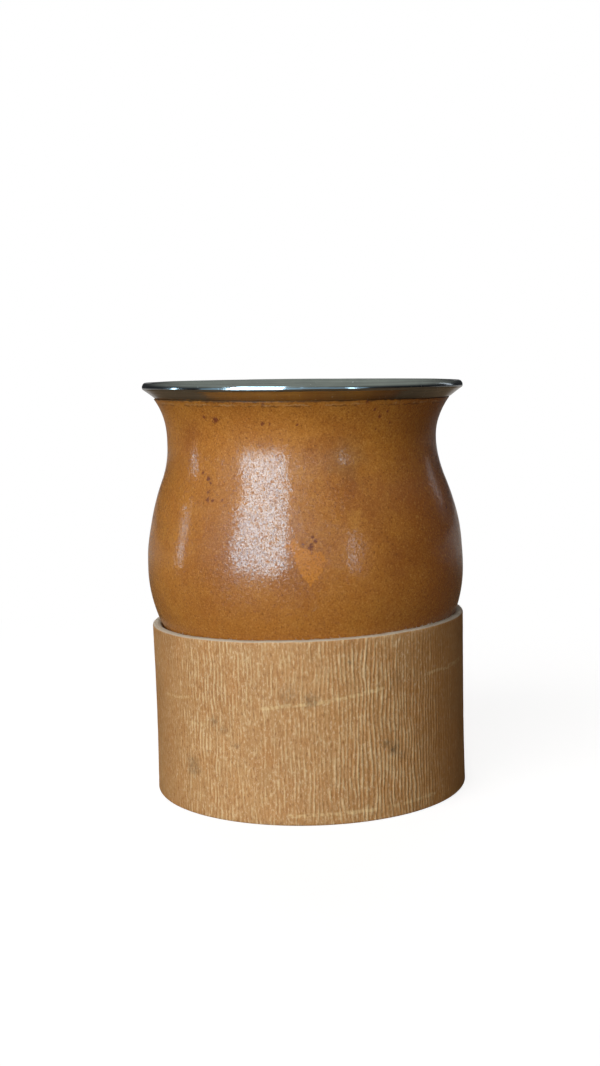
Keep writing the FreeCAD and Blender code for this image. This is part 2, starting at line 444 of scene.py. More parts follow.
def make_gourd_material():
    """Lacquered calabash: caramel, mottled and finely grained, with the marks of its growth, and painted
    shade on its right side and just under the rim.
    """
    material, n, shader = new_material("lacquered_calabash")
    place = n.place()
    aside = n.part(place, "X")
    height = n.part(place, "Z")

    broad = mottled(n, place, 26.0, 0.35)
    middle = mottled(n, n.move(place, (71, 13, 5)), 6.0, 0.3)
    small = mottled(n, n.move(place, (3, 57, 29)), 1.6, 0.35)
    colour = n.mix(broad, (0.350, 0.130, 0.016), (0.455, 0.186, 0.025))
    colour = n.mix(n.times(middle, 0.50), colour, (0.335, 0.108, 0.013))
    colour = n.mix(n.times(small, 0.28), colour, (0.46, 0.20, 0.038))

    # Dusky clouds where the skin healed, and a greyer scuff. Spots are angle, height and reach
    clouds = [(24, 80, 8.0), (17, 84, 4.0), (-30, 66, 9.0), (12, 92, 6.0), (-3, 63, 5.0),
              (33, 66, 5.0), (42, 83, 6.0), (-52, 96, 5.0), (150, 70, 14.0), (-120, 85, 12.0)]
    for angle, up, reach in clouds:
        cloud = spotted(n, place, on_gourd(angle, up), reach, 0.75, 0.8)
        colour = n.mix(n.times(cloud, 0.42), colour, (0.22, 0.062, 0.012))
    scuffed = spotted(n, place, on_gourd(17, 91), 4.5, 0.9, 0.7)
    colour = n.mix(n.times(scuffed, 0.28), colour, (0.20, 0.125, 0.045))

    # Paler, cleaner skin: a torn flake and a few curls
    corners = ((-3.6, 70.6), (-2.1, 64.6), (0.9, 60.9), (2.6, 62.4), (4.9, 66.6), (4.3, 69.0))
    patch = flake_mask(n, place, corners)
    horn = spotted(n, place, on_gourd(-4.3, 70.6), 1.5, 0.9, 0.3)
    bite = spotted(n, place, on_gourd(2.6, 70.2), 1.5, 0.9, 0.4)
    patch = n.times(n.math("MAXIMUM", patch, horn), n.minus(1.0, bite))
    colour = n.mix(n.times(patch, 0.92), colour, (0.50, 0.180, 0.013))
    for angle, up, reach in ((18, 76.3, 2.2), (-61, 72.4, 1.4), (-56, 71.0, 1.0), (205, 78, 3.0)):
        curl = spotted(n, place, on_gourd(angle, up), reach, 0.9, 0.3)
        colour = n.mix(n.times(curl, 0.42), colour, (0.50, 0.23, 0.04))

    # Painted shade: the right side darker and redder, as it turns away from the lamps
    colour = n.mix(n.span(aside, 16, 41, 0.0, 0.72), colour, (0.28, 0.068, 0.008))

    # The fine grain of the skin
    grain = n.noise(n.stretch(place, (1, 1, 0.85)), 2.3, 3.0, 0.74, 0.9)
    colour = n.mix(n.span(grain, 0.50, 0.33, 0.0, 0.76), colour, (0.14, 0.045, 0.010))
    colour = n.mix(n.span(grain, 0.52, 0.68, 0.0, 0.56), colour, (0.60, 0.29, 0.070))

    # Maroon spots and dark specks
    marks = [(-35.5, 101.4, 1.05), (-41, 102.2, 0.6), (-15.5, 100.4, 0.65), (-12.5, 100.3, 0.4),
             (-2, 100.0, 0.45), (-43.5, 88.0, 0.55), (-40, 86.6, 0.8), (-38.6, 85.6, 0.45),
             (-38.8, 83.4, 0.6), (-38.4, 81.6, 0.7), (-35.8, 81.3, 0.5), (-31.5, 81.5, 0.4),
             (66, 76.5, 0.55), (1.6, 70.3, 0.9), (-0.8, 70.9, 0.5), (3.4, 71.6, 0.6),
             (2.4, 72.6, 0.5), (31, 101.2, 0.6), (34, 102.4, 0.4), (28, 103.0, 0.5),
             (36.5, 99.5, 0.4), (30, 98.0, 0.3), (-14, 105.1, 0.55), (24, 105.0, 0.5),
             (120, 90, 0.8), (-150, 72, 0.9), (170, 97, 0.6)]
    dots = 0.0
    for angle, up, reach in marks:
        one = spotted(n, place, on_gourd(angle, up), reach * 0.78, 1.2, 0.55)
        dots = n.math("MAXIMUM", one, dots)
    colour = n.mix(n.times(dots, 0.76), colour, (0.100, 0.017, 0.013))

    # Fine specks scattered under the rim
    speck = n.span(n.noise(place, 2.6, 1.0, 0.5), 0.715, 0.76)
    speck = n.times(speck, n.times(n.span(height, 92, 99), n.span(height, 107, 104.5)))
    colour = n.mix(n.times(speck, 0.65), colour, (0.09, 0.03, 0.012))

    # A scuffed line and old varnish just under the steel, by their level above the tipped mouth, and
    # painted shade right under the steel's hem
    level = n.plus(n.minus(height, mouth_height), n.times(aside, math.tan(mouth_dip)))
    level = n.plus(level, n.times(n.minus(n.noise(place, 0.8, 4.0, 0.7), 0.5), 1.3))
    scuff = n.times(n.span(level, -1.30, -1.10), n.span(level, -0.75, -0.95))
    scuff = n.times(scuff, n.span(n.noise(place, 0.22, 4.0, 0.7), 0.44, 0.62))
    under = n.times(n.span(level, -1.65, -1.45), n.span(level, -1.15, -1.35))
    under = n.times(under, n.span(n.noise(n.move(place, (9, 2, 4)), 0.3, 4.0, 0.7), 0.44, 0.60))
    colour = n.mix(n.times(under, 0.7), colour, (0.10, 0.045, 0.015))
    colour = n.mix(n.times(scuff, 0.40), colour, (0.50, 0.34, 0.17))
    # Painted shade: the skin darkens towards the mouth right under the steel's hem
    colour = n.mix(n.span(level, -0.50, -0.10, 0.0, 0.75), colour, (0.055, 0.03, 0.014))

    # The dry inside of the shell
    inside = n.painted("inside")
    streak = n.span(n.noise(n.stretch(place, (1, 1, 0.2)), 1.1, 3.0), 0.55, 0.7, 0.0, 0.5)
    dry = n.mix(n.noise(place, 0.35, 4.0, 0.6), (0.22, 0.13, 0.055), (0.37, 0.245, 0.125))
    colour = n.mix(inside, colour, n.mix(streak, dry, (0.16, 0.085, 0.035)))
    n.put(colour, shader.inputs["Base Color"])

    # The lacquer lies on the pebbled skin, with gaps between worn grains
    rough = n.span(n.noise(place, 1.1, 3.0, 0.6), 0.3, 0.75, 0.42, 0.55)
    n.put(n.plus(rough, n.times(inside, 0.4)), shader.inputs["Roughness"])
    coat = n.span(n.noise(n.move(place, (5, 19, 47)), 1.95, 3.0, 0.78, 1.1), 0.42, 0.51)
    coat = n.times(coat, n.span(height, 95.0, 90.5, 0.25, 1.0))
    n.put(n.times(n.minus(1.0, inside), coat), shader.inputs["Coat Weight"])
    shader.inputs["Coat Roughness"].default_value = 0.055
    shader.inputs["Specular IOR Level"].default_value = 0.08
    pebble = n.plus(n.noise(place, 1.9, 1.0, 0.5, 0.6), n.times(n.noise(place, 0.7, 1.0), 1.2))
    pore = n.span(n.noise(n.move(place, (31, 7, 17)), 2.4, 1.0, 0.5, 1.2), 0.37, 0.46)
    normal = n.bump(n.plus(pebble, n.times(pore, 0.46)), 0.034, 1.0)
    n.put(normal, shader.inputs["Normal"])
    n.put(normal, shader.inputs["Coat Normal"])
    return material


def make_steel_material():
    """Polished sheet steel, spun on a lathe: turning lines, dust, and painted shade on the skirt towards
    the joint below.
    """
    material, n, shader = new_material("spun_steel")
    place = n.place()
    aside = n.part(place, "X")
    height = n.part(place, "Z")
    reach = n.vector("LENGTH", n.stretch(place, (1, 1, 0)))

    def rings(fineness, detail):
        """Noise that is the same all the way round."""
        flat = n.make("CombineXYZ", {"X": n.times(reach, fineness), "Y": n.times(height, fineness)})
        return n.noise(flat.outputs[0], 1.0, detail, 0.6)

    turned = rings(5.0, 3.0)
    groove = rings(1.5, 2.0)
    film = mottled(n, place, 7.0, 0.3)
    colour = n.mix(film, (0.385, 0.415, 0.43), (0.46, 0.49, 0.50))
    colour = n.mix(n.span(groove, 0.50, 0.36, 0.0, 0.40), colour, (0.22, 0.23, 0.235))
    colour = n.mix(n.span(groove, 0.55, 0.68, 0.0, 0.35), colour, (0.62, 0.65, 0.66))
    # Painted shade: the skirt's foot darker and browner towards the joint with the gourd
    level = n.plus(n.minus(height, mouth_height), n.times(aside, math.tan(mouth_dip)))
    on_skirt = n.span(reach, skirt_foot - 1.3, skirt_foot - 0.3)
    painted_joint_shade = n.times(n.span(level, 1.55, 0.05, 0.0, 0.45), on_skirt)
    colour = n.mix(painted_joint_shade, colour, (0.20, 0.17, 0.13))
    dust = n.span(n.noise(place, 2.2, 2.0, 0.6), 0.70, 0.78)
    colour = n.mix(n.times(dust, 0.5), colour, (0.75, 0.70, 0.62))
    n.put(colour, shader.inputs["Base Color"])

    shader.inputs["Metallic"].default_value = 1.0
    rough = n.plus(n.times(turned, 0.20), n.times(film, 0.06))
    n.put(n.plus(rough, n.times(dust, 0.4)), shader.inputs["Roughness"])
    relief = n.plus(n.times(turned, 0.25), n.noise(place, 0.28, 2.0, 0.5))
    n.put(n.bump(relief, 0.05, 0.5), shader.inputs["Normal"])
    return material


def make_leather_material():
    """Thick tan leather bent round, its grain side wrinkled, with scratches, stains and a cut edge, and
    painted shade in its furrows and towards its sides.
    """
    material, n, shader = new_material("tan_leather")
    wrap = n.wrap()
    place = n.place()
    crest = n.painted("crest")
    edge = n.painted("edge")
    back = n.painted("flesh")

    broad = mottled(n, wrap, 22.0, 0.3)
    middle = mottled(n, n.stretch(wrap, (1, 0.45, 1)), 4.5, 0.3)
    thread = n.noise(n.stretch(wrap, (1, 0.20, 1)), 1.75, 3.0, 0.65, 1.0)
    dots = n.noise(n.move(n.stretch(wrap, (1, 0.40, 1)), (40, 9, 3)), 2.1, 3.0, 0.75)

    colour = n.mix(broad, (0.42, 0.228, 0.085), (0.53, 0.315, 0.130))
    colour = n.mix(n.times(middle, 0.45), colour, (0.50, 0.225, 0.062))
    # The stretched grain is paler on the wrinkle crests
    colour = n.mix(n.span(crest, 0.42, 0.92, 0.0, 0.72), colour, (0.71, 0.54, 0.300))
    # Painted shade: the furrows between the wrinkles darkened
    colour = n.mix(n.span(crest, 0.30, 0.03, 0.0, 0.50), colour, (0.375, 0.170, 0.048))
    colour = n.mix(n.span(thread, 0.53, 0.68, 0.0, 0.44), colour, (0.68, 0.50, 0.28))
    colour = n.mix(n.span(thread, 0.46, 0.31, 0.0, 0.44), colour, (0.33, 0.14, 0.042))
    colour = n.mix(n.span(dots, 0.53, 0.69, 0.0, 0.60), colour, (0.74, 0.59, 0.37))
    colour = n.mix(n.span(dots, 0.46, 0.31, 0.0, 0.70), colour, (0.25, 0.115, 0.040))

    # Painted shade: darker and more saturated towards both sides, where the band turns away from the lamps
    across = n.part(wrap, "X")
    right_shade = n.times(n.span(across, 18, 44), n.span(across, 95, 60))
    left_shade = n.times(n.span(across, -30, -50), n.span(across, -95, -60))
    painted_side_shade = n.plus(n.times(right_shade, 0.62), n.times(left_shade, 0.34))
    colour = n.mix(painted_side_shade, colour, (0.33, 0.135, 0.028))

    # Pale scratches: start and end on the strip, width and strength
    lines = [((-12.2, 28.7), (1.5, 29.9), 0.55, 0.5), ((1.5, 29.7), (19.3, 32.1), 0.5, 0.5),
             ((33, 33.5), (54, 33.8), 0.5, 0.30), ((-47, 28.6), (-35, 29.6), 0.45, 0.35),
             ((-39, 22.6), (-29, 23.3), 0.45, 0.3), ((-6, 1.6), (17, 1.9), 0.5, 0.5),
             ((20, 1.9), (36, 2.3), 0.45, 0.4), ((70, 20), (95, 24), 0.5, 0.4),
             ((-110, 30), (-85, 27), 0.5, 0.4)]
    pale = 0.0
    for start, end, width, strength in lines:
        one = n.use(scratch, {"Place": wrap, "Start": (*start, 0), "End": (*end, 0),
                              "Width": width * 1.3, "Bow": 0.35})
        pale = n.math("MAXIMUM", n.times(one, strength), pale)
    pale = n.times(pale, n.span(crest, 0.1, 0.6, 0.75, 1.3), True)
    colour = n.mix(pale, colour, (0.74, 0.57, 0.30))

    # Dark smudges and small stains: middle on the strip, reach and strength
    stains = [((0.2, 30.7), 1.7, 0.48), ((-5.5, 31.8), 2.6, 0.24), ((22.0, 16.4), 1.5, 0.60),
              ((19.9, 18.0), 1.1, 0.5), ((24.2, 14.4), 1.2, 0.35), ((-34.3, 11.6), 2.4, 0.42),
              ((-26.2, 24.3), 1.3, 0.30), ((-23.4, 22.4), 1.1, 0.25), ((-19.5, 18.6), 0.6, 0.45),
              ((10.2, 39.4), 0.55, 0.6), ((23.0, 34.0), 2.0, 0.15), ((100, 25), 4.0, 0.3),
              ((-95, 15), 3.0, 0.3)]
    dark = 0.0
    for centre, reach, strength in stains:
        one = spotted(n, wrap, (*centre, 0), reach, 0.55, 0.7)
        dark = n.math("MAXIMUM", n.times(one, strength), dark)
    flecks = n.span(n.noise(n.stretch(wrap, (1, 0.6, 1)), 1.6, 3.0, 0.65), 0.36, 0.60, 0.35, 1.25)
    colour = n.mix(n.times(dark, flecks, True), colour, (0.13, 0.085, 0.045))

    # The cut edge shows the pale fibres of the leather's core, and the inside its flesh side
    fibre = n.noise(place, 2.2, 4.0, 0.7)
    core = n.mix(fibre, (0.34, 0.28, 0.20), (0.66, 0.59, 0.48))
    colour = n.mix(n.span(edge, 0.25, 0.75), colour, core)
    flesh = n.mix(n.noise(place, 0.9, 4.0, 0.7), (0.33, 0.22, 0.12), (0.50, 0.37, 0.23))
    colour = n.mix(back, colour, flesh)

    n.put(colour, shader.inputs["Base Color"])
    n.put(n.span(dots, 0.3, 0.7, 0.58, 0.72), shader.inputs["Roughness"])
    shader.inputs["Specular IOR Level"].default_value = 0.12
    relief = n.plus(n.times(thread, 0.6), n.times(dots, 0.5))
    n.put(n.bump(relief, 0.16, 0.7), shader.inputs["Normal"])
    return material


def make_thread_material():
    """Waxed linen thread."""
    material, n, shader = new_material("waxed_thread")
    place = n.place()
    wax = mottled(n, place, 2.0, 0.4)
    fibre = n.noise(n.stretch(place, (1, 1, 4)), 2.5, 3.0, 0.6)
    colour = n.mix(wax, (0.58, 0.47, 0.31), (0.70, 0.60, 0.43))
    colour = n.mix(n.span(fibre, 0.5, 0.3, 0.0, 0.4), colour, (0.36, 0.26, 0.15))
    n.put(colour, shader.inputs["Base Color"])
    n.put(n.span(wax, 0, 1, 0.45, 0.6), shader.inputs["Roughness"])
    n.put(n.bump(fibre, 0.05, 0.6), shader.inputs["Normal"])
    return material


def make_fibre_material():
    """Loose fibres of the leather's cut edge."""
    material, n, shader = new_material("leather_fibre")
    place = n.place()
    colour = n.mix(n.noise(place, 1.5, 2.0, 0.5), (0.50, 0.43, 0.33), (0.78, 0.73, 0.64))
    n.put(colour, shader.inputs["Base Color"])
    n.put(n.span(n.noise(place, 3.0), 0.3, 0.7, 0.7, 0.85), shader.inputs["Roughness"])
    return material


# The gourd
def make_gourd():
    """The hollow gourd: one section, from low outside over the mouth to the floor inside, turned."""
    columns = 400
    foot_z = belly_height - belly_rise
    low_turn = np.radians(np.linspace(0, 62, 21)[1:])
    low = [(belly_radius * math.sin(t), belly_height - belly_rise * math.cos(t)) for t in low_turn]
    high_z = np.linspace(low[-1][1], mouth_height - mouth_edge, 150)[1:]
    high = [(float(gourd_radius(z)), z) for z in high_z]
    mouth_outer = high[-1][0]
    throat_radius = mouth_outer - gourd_wall
    # The cut edge is rounded outside, and flat from there to the throat
    cut_height = mouth_height - 0.04
    lip = arc_points((mouth_outer - 0.25, mouth_height - 0.33), 0.28, 0, 90, 5)
    lip += [(mouth_outer - 1.2, cut_height), (throat_radius + 0.5, cut_height)]
    inner_z = np.linspace(mouth_height - 0.6, belly_height, 34)
    inner = [(float(gourd_radius(z)) - gourd_wall, z) for z in inner_z]
    floor_z = foot_z + gourd_floor
    inner_rise = belly_height - floor_z
    for t in np.radians(np.linspace(90, 0, 16)[1:-1]):
        inner.append(((belly_radius - gourd_wall) * math.sin(t), belly_height - inner_rise * math.cos(t)))
    section = np.array(low + high + lip + inner)
    rows = len(section)
    skin_rows = len(low) + len(high)
    row_of = np.repeat(np.arange(rows), columns)
    r, z, a = turn_section(section, full_turn(columns))
    x = r * np.sin(a)
    y = -r * np.cos(a)

    # Slow unevenness of a grown shell and the fine pebbling of its skin, calm where it is held
    slow = noise_solid(x / 19 + 7, y / 19 + 3, z / 23 + 5, 11) * 0.12
    fine = noise_solid(x / 2.1, y / 2.1, z / 2.4, 12) * 0.012
    fine = fine + noise_solid(x / 4.3, y / 4.3, z / 5, 13) * 0.022
    calm = np.clip((mouth_height - z) / 4, 0, 1) * np.clip((z - band_height - 0.5) / 5, 0, 1)
    r = r + np.where(row_of < skin_rows, slow * calm + fine * np.clip(calm * 2, 0, 1), 0)
    x = r * np.sin(a) + gourd_drift(z)
    y = -r * np.cos(a)
    z = z - math.tan(mouth_dip) * x
    bottom = rows * columns
    vertices = np.vstack([np.c_[x, y, z], [0, 0, foot_z], [0, 0, floor_z]])
    faces = grid_faces(rows, columns)
    last = (rows - 1) * columns
    for j in range(columns):
        k = (j + 1) % columns
        faces.append((bottom, k, j))
        faces.append((bottom + 1, last + j, last + k))
    piece = mesh_piece("gourd", vertices, faces, make_gourd_material())
    inside = np.clip((row_of - skin_rows - 3) / 2.0, 0, 1)
    paint(piece, "inside", np.r_[inside, 0, 1])
    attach(piece, "root")
    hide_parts("calabash_bowl")
    return piece


# The steel rim
def straight(start, end, count, sag):
    """Points after the start of a line that sags by so much in its middle, its end included."""
    points = []
    for t in np.linspace(0, 1, count)[1:]:
        drop = sag * math.sin(math.pi * t)
        points.append((start[0] + (end[0] - start[0]) * t, start[1] + (end[1] - start[1]) * t - drop))
    return points


def sleeve_reach(z):
    """The sleeve's inner radius where it lies against the gourd's wall."""
    return float(gourd_radius(z)) - gourd_wall - sleeve_clearance - sheet_thickness


def rim_section():
    """The rim's shown side from the hem up the skirt, round the lip, down the funnel and the sleeve."""
    hem = [(skirt_foot - hem_width, mouth_height), (skirt_foot - 0.25, mouth_height)]
    hem += arc_points((skirt_foot - 0.2, mouth_height + 0.2), 0.2, -90, -43, 5)
    bead = []
    for t in np.radians(np.linspace(-62, 112, 30)):
        tall = bead_rise if t > 0 else bead_drop
        bead.append((bead_circle + bead_reach * math.cos(t), bead_height + tall * math.sin(t)))
    foot = hem[-1]
    top = bead[0]
    skirt = []
    for t in np.linspace(0, 1, 12)[1:-1]:
        hollow = 0.06 * math.sin(math.pi * t)
        skirt.append((foot[0] + (top[0] - foot[0]) * t - hollow, foot[1] + (top[1] - foot[1]) * t))
    sleeve_radius = sleeve_reach(mouth_height - mouth_edge)
    funnel_end = (sleeve_radius + throat_round, funnel_foot)
    funnel = straight(bead[-1], funnel_end, 12, 0.12)
    throat = []
    for t in np.linspace(0, 1, 8)[1:]:
        turn = t * math.pi / 2
        drop = throat_drop * (1 - math.cos(turn)) + 0.3 * t
        throat.append((funnel_end[0] - throat_round * math.sin(turn), funnel_end[1] - drop))
    sleeve = []
    for z in np.linspace(throat[-1][1] - 0.5, mouth_height - sleeve_depth, 10):
        sleeve.append((min(sleeve_reach(z), sleeve_radius), z))
    return np.array(hem + skirt + bead + funnel + throat + sleeve)


def thicken(section, thickness):
    """A closed section from one side of a sheet: the other side lies to the left of its run."""
    ahead = np.roll(section, -1, 0)
    behind = np.roll(section, 1, 0)
    ahead[-1] = section[-1]
    behind[0] = section[0]
    along = ahead - behind
    along /= np.linalg.norm(along, axis=1)[:, None]
    side = np.c_[-along[:, 1], along[:, 0]]
    return np.vstack([section, (section + side * thickness)[::-1]])


def make_rim():
    columns = 720
    section = thicken(rim_section(), sheet_thickness)
    r, z, a = turn_section(section, full_turn(columns))
    around = np.degrees(a)
    # Spun by hand, so the lip is not quite even
    near_lip = np.clip((z - mouth_height) / 3, 0, 1)
    lift = noise_flat(around / 15 + 40, z * 0 + 2, 21) * 0.035 + noise_flat(around / 4, z * 0, 22) * 0.008
    swell = noise_flat(around / 20 + 9, z / 9, 23) * 0.04
    r = r + near_lip * swell
    z = z + near_lip * lift
    x = r * np.sin(a) + rim_shift * np.clip((z - 96) / 10, 0, 1)
    y = -r * np.cos(a)
    z = z - math.tan(mouth_dip) * x
    faces = grid_faces(len(section), columns, closed_rows=True)
    piece = mesh_piece("rim", np.c_[x, y, z], faces, make_steel_material())
    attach(piece, "root")
    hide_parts("steel_rim")
    return piece


# The leather band
def band_side(z):
    """The band's outside radius: a shallow waist between a full foot and head."""
    away = np.asarray(z, float) - band_waist_height
    return band_waist + 0.22 * (away / 19) ** 2 * np.where(away > 0, 0.62, 1.0)


def band_section():
    """The band's section as outer and inner chains of the same length, both from the foot up."""
    corner = (float(band_side(foot_round)) - foot_round, foot_round)
    outer = arc_points(corner, foot_round, -90, 0, foot_steps + 1)[:-1]
    side_z = np.linspace(foot_round, band_height - edge_round, side_steps)
    outer += [(float(band_side(z)), z) for z in side_z]
    corner = (float(band_side(band_height)) - edge_round, band_height - edge_round)
    outer += arc_points(corner, edge_round, 0, 90, 7)[1:]
    outer += [(corner[0] - 0.5, band_height + 0.02), (corner[0] - 1.0, band_height)]
    inner = []
    for z in np.linspace(0, band_height - 0.3, len(outer)):
        wall = float(band_side(z)) - band_wall
        seat = float(gourd_radius(z)) + seat_clearance if z > band_height - 8 else 0
        inner.append((max(wall, seat), z))
    inner[0] = (inner[0][0] + 0.3, 0.0)
    return np.array(outer), np.array(inner)


def wrinkle_crest(u, v):
    """The upright wrinkles of bent leather: 1 on a crest and 0 in a furrow, over length and height."""
    sway = 0.42 * noise_flat(u / 3.3 + 20, v / 6.5 + 4, 31) + 0.13 * noise_flat(u / 1.5 + 3, v / 2.4, 32)
    wave = 0.5 + 0.5 * np.sin(2 * math.pi * (u / wrinkle_pitch + sway))
    finer_sway = 1.6 * sway + 0.3 * noise_flat(u / 2, v / 3.3, 33)
    finer = 0.5 + 0.5 * np.sin(2 * math.pi * (u / finer_pitch + finer_sway))
    share = 0.5 + 0.5 * noise_flat(u / 6.5 + 60, v / 11, 34)
    wave = wave * (0.45 + 0.55 * share) + finer * 0.5 * (1 - share)
    broken = 0.66 + 0.34 * noise_flat(u / 0.9 + 9, v / 2.6, 30)
    return np.clip(wave * broken * 1.3, 0, 1) ** 1.2


def wrinkle_strength(a, u, z):
    """Wrinkles are strongest right and left of the front, calm just left of it and at the sides."""
    strength = 0.86 + 0.30 * noise_flat(u / 13 + 5, z / 22, 35)
    strength = strength * (1 - 0.26 * np.exp(-((u + 11) / 9) ** 2) * (0.6 + 0.4 * np.sin(z / 15)))
    strength = strength + 0.18 * np.exp(-((u - 18) / 11) ** 2) + 0.30 * np.exp(-((u + 30) / 9) ** 2)
    aside = np.abs(np.degrees(a) - 2)
    strength = strength * (1 - 0.60 * np.clip((aside - 42) / 25, 0, 1) * np.clip((125 - aside) / 35, 0, 1))
    return np.clip(strength, 0.2, 1.15)


def make_band():
    """The strip bent into a ring with its ends almost touching, wrinkled on its outer side."""
    columns = 1290
    outer, inner = band_section()
    count = len(outer)
    section = np.vstack([outer, inner[::-1]])
    rows = len(section)
    row_of = np.repeat(np.arange(rows), columns)
    gap = math.degrees(seam_gap / 2 / band_reach)
    r, z, a = turn_section(section, np.radians(np.linspace(-180 + gap, 180 - gap, columns)))
    u = a * band_reach
    crest = wrinkle_crest(u, z)
    strength = wrinkle_strength(a, u, z)
    is_outer = row_of < count
    fade = np.clip((band_height + 0.4 - z) / 1.6, 0, 1) * np.clip((z + 0.3) / 1.5, 0, 1)
    r = r + np.where(is_outer, (crest - 0.45) * wrinkle_depth * strength * fade, 0)
    r = r + np.where(is_outer, 0, noise_flat(u / 1.1, z / 1.4, 36) * 0.04)
    r = r + noise_flat(u / 24 + 3, z / 30, 37) * 0.10
    x = r * np.sin(a)
    y = -r * np.cos(a)
    share = z / band_height
    z = z + share * (slant_right * x + slant_front * y)
    z = z + share ** 6 * (noise_flat(u / 9, z * 0, 38) * 0.07 + noise_flat(u / 1.5, z * 0 + 3, 39) * 0.035)
    vertices = np.c_[x, y, z]
    faces = grid_faces(rows, columns, closed_rows=True, closed_columns=False)
    # The two ends of the strip
    for i in range(count - 1):
        lower_in = (rows - 1 - i) * columns
        upper_in = (rows - 2 - i) * columns
        first = (i * columns, (i + 1) * columns, upper_in, lower_in)
        faces.append(first)
        faces.append(tuple(index + columns - 1 for index in reversed(first)))
    piece = mesh_piece("band", vertices, faces, make_leather_material())
    corners = np.empty(len(piece.data.loops), int)
    piece.data.loops.foreach_get("vertex_index", corners)
    chain = np.cumsum(np.r_[0, np.linalg.norm(np.diff(section, axis=0), axis=1)])
    chain = chain - chain[foot_steps + 1] + foot_round
    lay_wrap(piece, u[corners], np.repeat(chain, columns)[corners])
    paint(piece, "crest", 0.32 + (crest - 0.32) * strength)
    edge = np.clip((row_of - foot_steps - side_steps) / 3.0, 0, 1) * (row_of < count + 1)
    paint(piece, "edge", edge)
    paint(piece, "flesh", np.clip((row_of - count) / 2.0, 0, 1))
    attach(piece, "root")
    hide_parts("leather_ring")
    return piece


# Loose fibres on the band's cut edge
def make_fibres():
    random = np.random.RandomState(51)
    vertices = []
    faces = []
    steps = 4
    sides = 3
    upwards = np.array([0, 0, 1.0])
    for _ in range(fibre_count):
        angle = random.uniform(-math.pi, math.pi)
        thick_here = 0.35 + 0.65 * math.exp(-((math.degrees(angle) - 45) / 28) ** 2)
        if random.uniform() > thick_here:
            continue
        radius = float(band_side(band_height)) + random.uniform(-1.9, -0.35)
        lean = random.uniform(-0.8, 0.8)
        turn_out = random.uniform(-0.9, 0.9)
        length = random.uniform(0.35, 1.0)
        thin = random.uniform(0.028, 0.055)
        x = radius * math.sin(angle)
        y = -radius * math.cos(angle)
        point = np.array([x, y, band_height - 0.06 + slant_right * x + slant_front * y])
        around = np.array([math.cos(angle), math.sin(angle), 0])
        outwards = np.array([math.sin(angle), -math.cos(angle), 0])
        heading = upwards * 0.55 + around * lean + outwards * turn_out
        heading /= np.linalg.norm(heading)
        curl = around * random.uniform(-0.6, 0.6) + outwards * random.uniform(-0.6, 0.6) - upwards * 0.35
        base = len(vertices)
        for step in range(steps):
            size = thin * (1 - 0.7 * step / (steps - 1))
            for side in range(sides):
                t = side * 2 * math.pi / sides
                vertices.append(point + (around * math.cos(t) + outwards * math.sin(t)) * size)
            point = point + heading * length / (steps - 1)
            heading = heading + curl * 0.45
            heading /= np.linalg.norm(heading)
        faces += grid_faces(steps, sides, base=base)
        faces.append((base + 2, base + 1, base))
        tip = base + (steps - 1) * sides
        faces.append((tip, tip + 1, tip + 2))
    piece = mesh_piece("band_fibres", np.array(vertices), faces, make_fibre_material())
    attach(piece, "root")
    return piece


# The thread that laces the band at the back
def around_back(radius, angle, height):
    """A point at an angle from the middle of the back, in radians."""
    return np.array([radius * math.sin(angle), radius * math.cos(angle), height])


def thread_path():
    """The thread's middle line: level stitches outside, slanted runs inside."""
    points = []
    spread = stitch_half_width / band_waist
    for height in stitch_margin + stitch_pitch * np.arange(stitch_count):
        outside = float(band_side(height)) + thread_radius + thread_gap
        inside = float(band_side(height)) - band_wall - thread_radius - thread_gap
        points.append(around_back(inside, spread, height))
        for t in np.linspace(spread, -spread, 9):
            points.append(around_back(outside, t, height))
        points.append(around_back(inside, -spread, height))
    points = np.array(points)
    step = np.r_[0, np.cumsum(np.linalg.norm(np.diff(points, axis=0), axis=1))]
    even = np.linspace(0, step[-1], int(step[-1] / thread_step))
    line = np.c_[[np.interp(even, step, points[:, k]) for k in range(3)]].T
    for _ in range(2):
        line[1:-1] = (line[:-2] + line[1:-1] * 2 + line[2:]) / 4
    return line


def add_strand(vertices, faces, line, frames, strand):
    """One of three strands twisted round the line, as a closed tube."""
    count = len(line)
    sides = 7
    base = len(vertices)
    for k, (first, second) in enumerate(frames):
        twist = k * thread_step / twist_length * 2 * math.pi + strand * 2 * math.pi / 3
        taper = min(1.0, 0.35 + k / 4, 0.35 + (count - 1 - k) / 4)
        middle = line[k] + (first * math.cos(twist) + second * math.sin(twist)) * strand_offset * taper
        for s in range(sides):
            t = s * 2 * math.pi / sides
            out = first * math.cos(t) + second * math.sin(t)
            vertices.append(middle + out * strand_radius * taper)
    faces += grid_faces(count, sides, base=base)
    faces.append(tuple(base + s for s in reversed(range(sides))))
    faces.append(tuple(base + (count - 1) * sides + s for s in range(sides)))


def add_knot(vertices, faces, middle):
    """A small lumpy ball, its rows from the top down."""
    rings = 9
    around = 14
    base = len(vertices)
    for i in range(1, rings):
        up = math.pi * i / rings
        for j in range(around):
            t = 2 * math.pi * j / around
            lump = knot_radius + 0.06 * math.sin(3 * t + i * 1.3)
            out = np.array([math.sin(up) * math.cos(t), math.sin(up) * math.sin(t), math.cos(up)])
            vertices.append(middle + lump * out)
    faces += [face[::-1] for face in grid_faces(rings - 1, around, base=base)]
    top = len(vertices)
    vertices.append(middle + np.array([0, 0, knot_radius]))
    vertices.append(middle - np.array([0, 0, knot_radius]))
    last = base + (rings - 2) * around
    for j in range(around):
        k = (j + 1) % around
        faces.append((top, base + j, base + k))
        faces.append((top + 1, last + k, last + j))


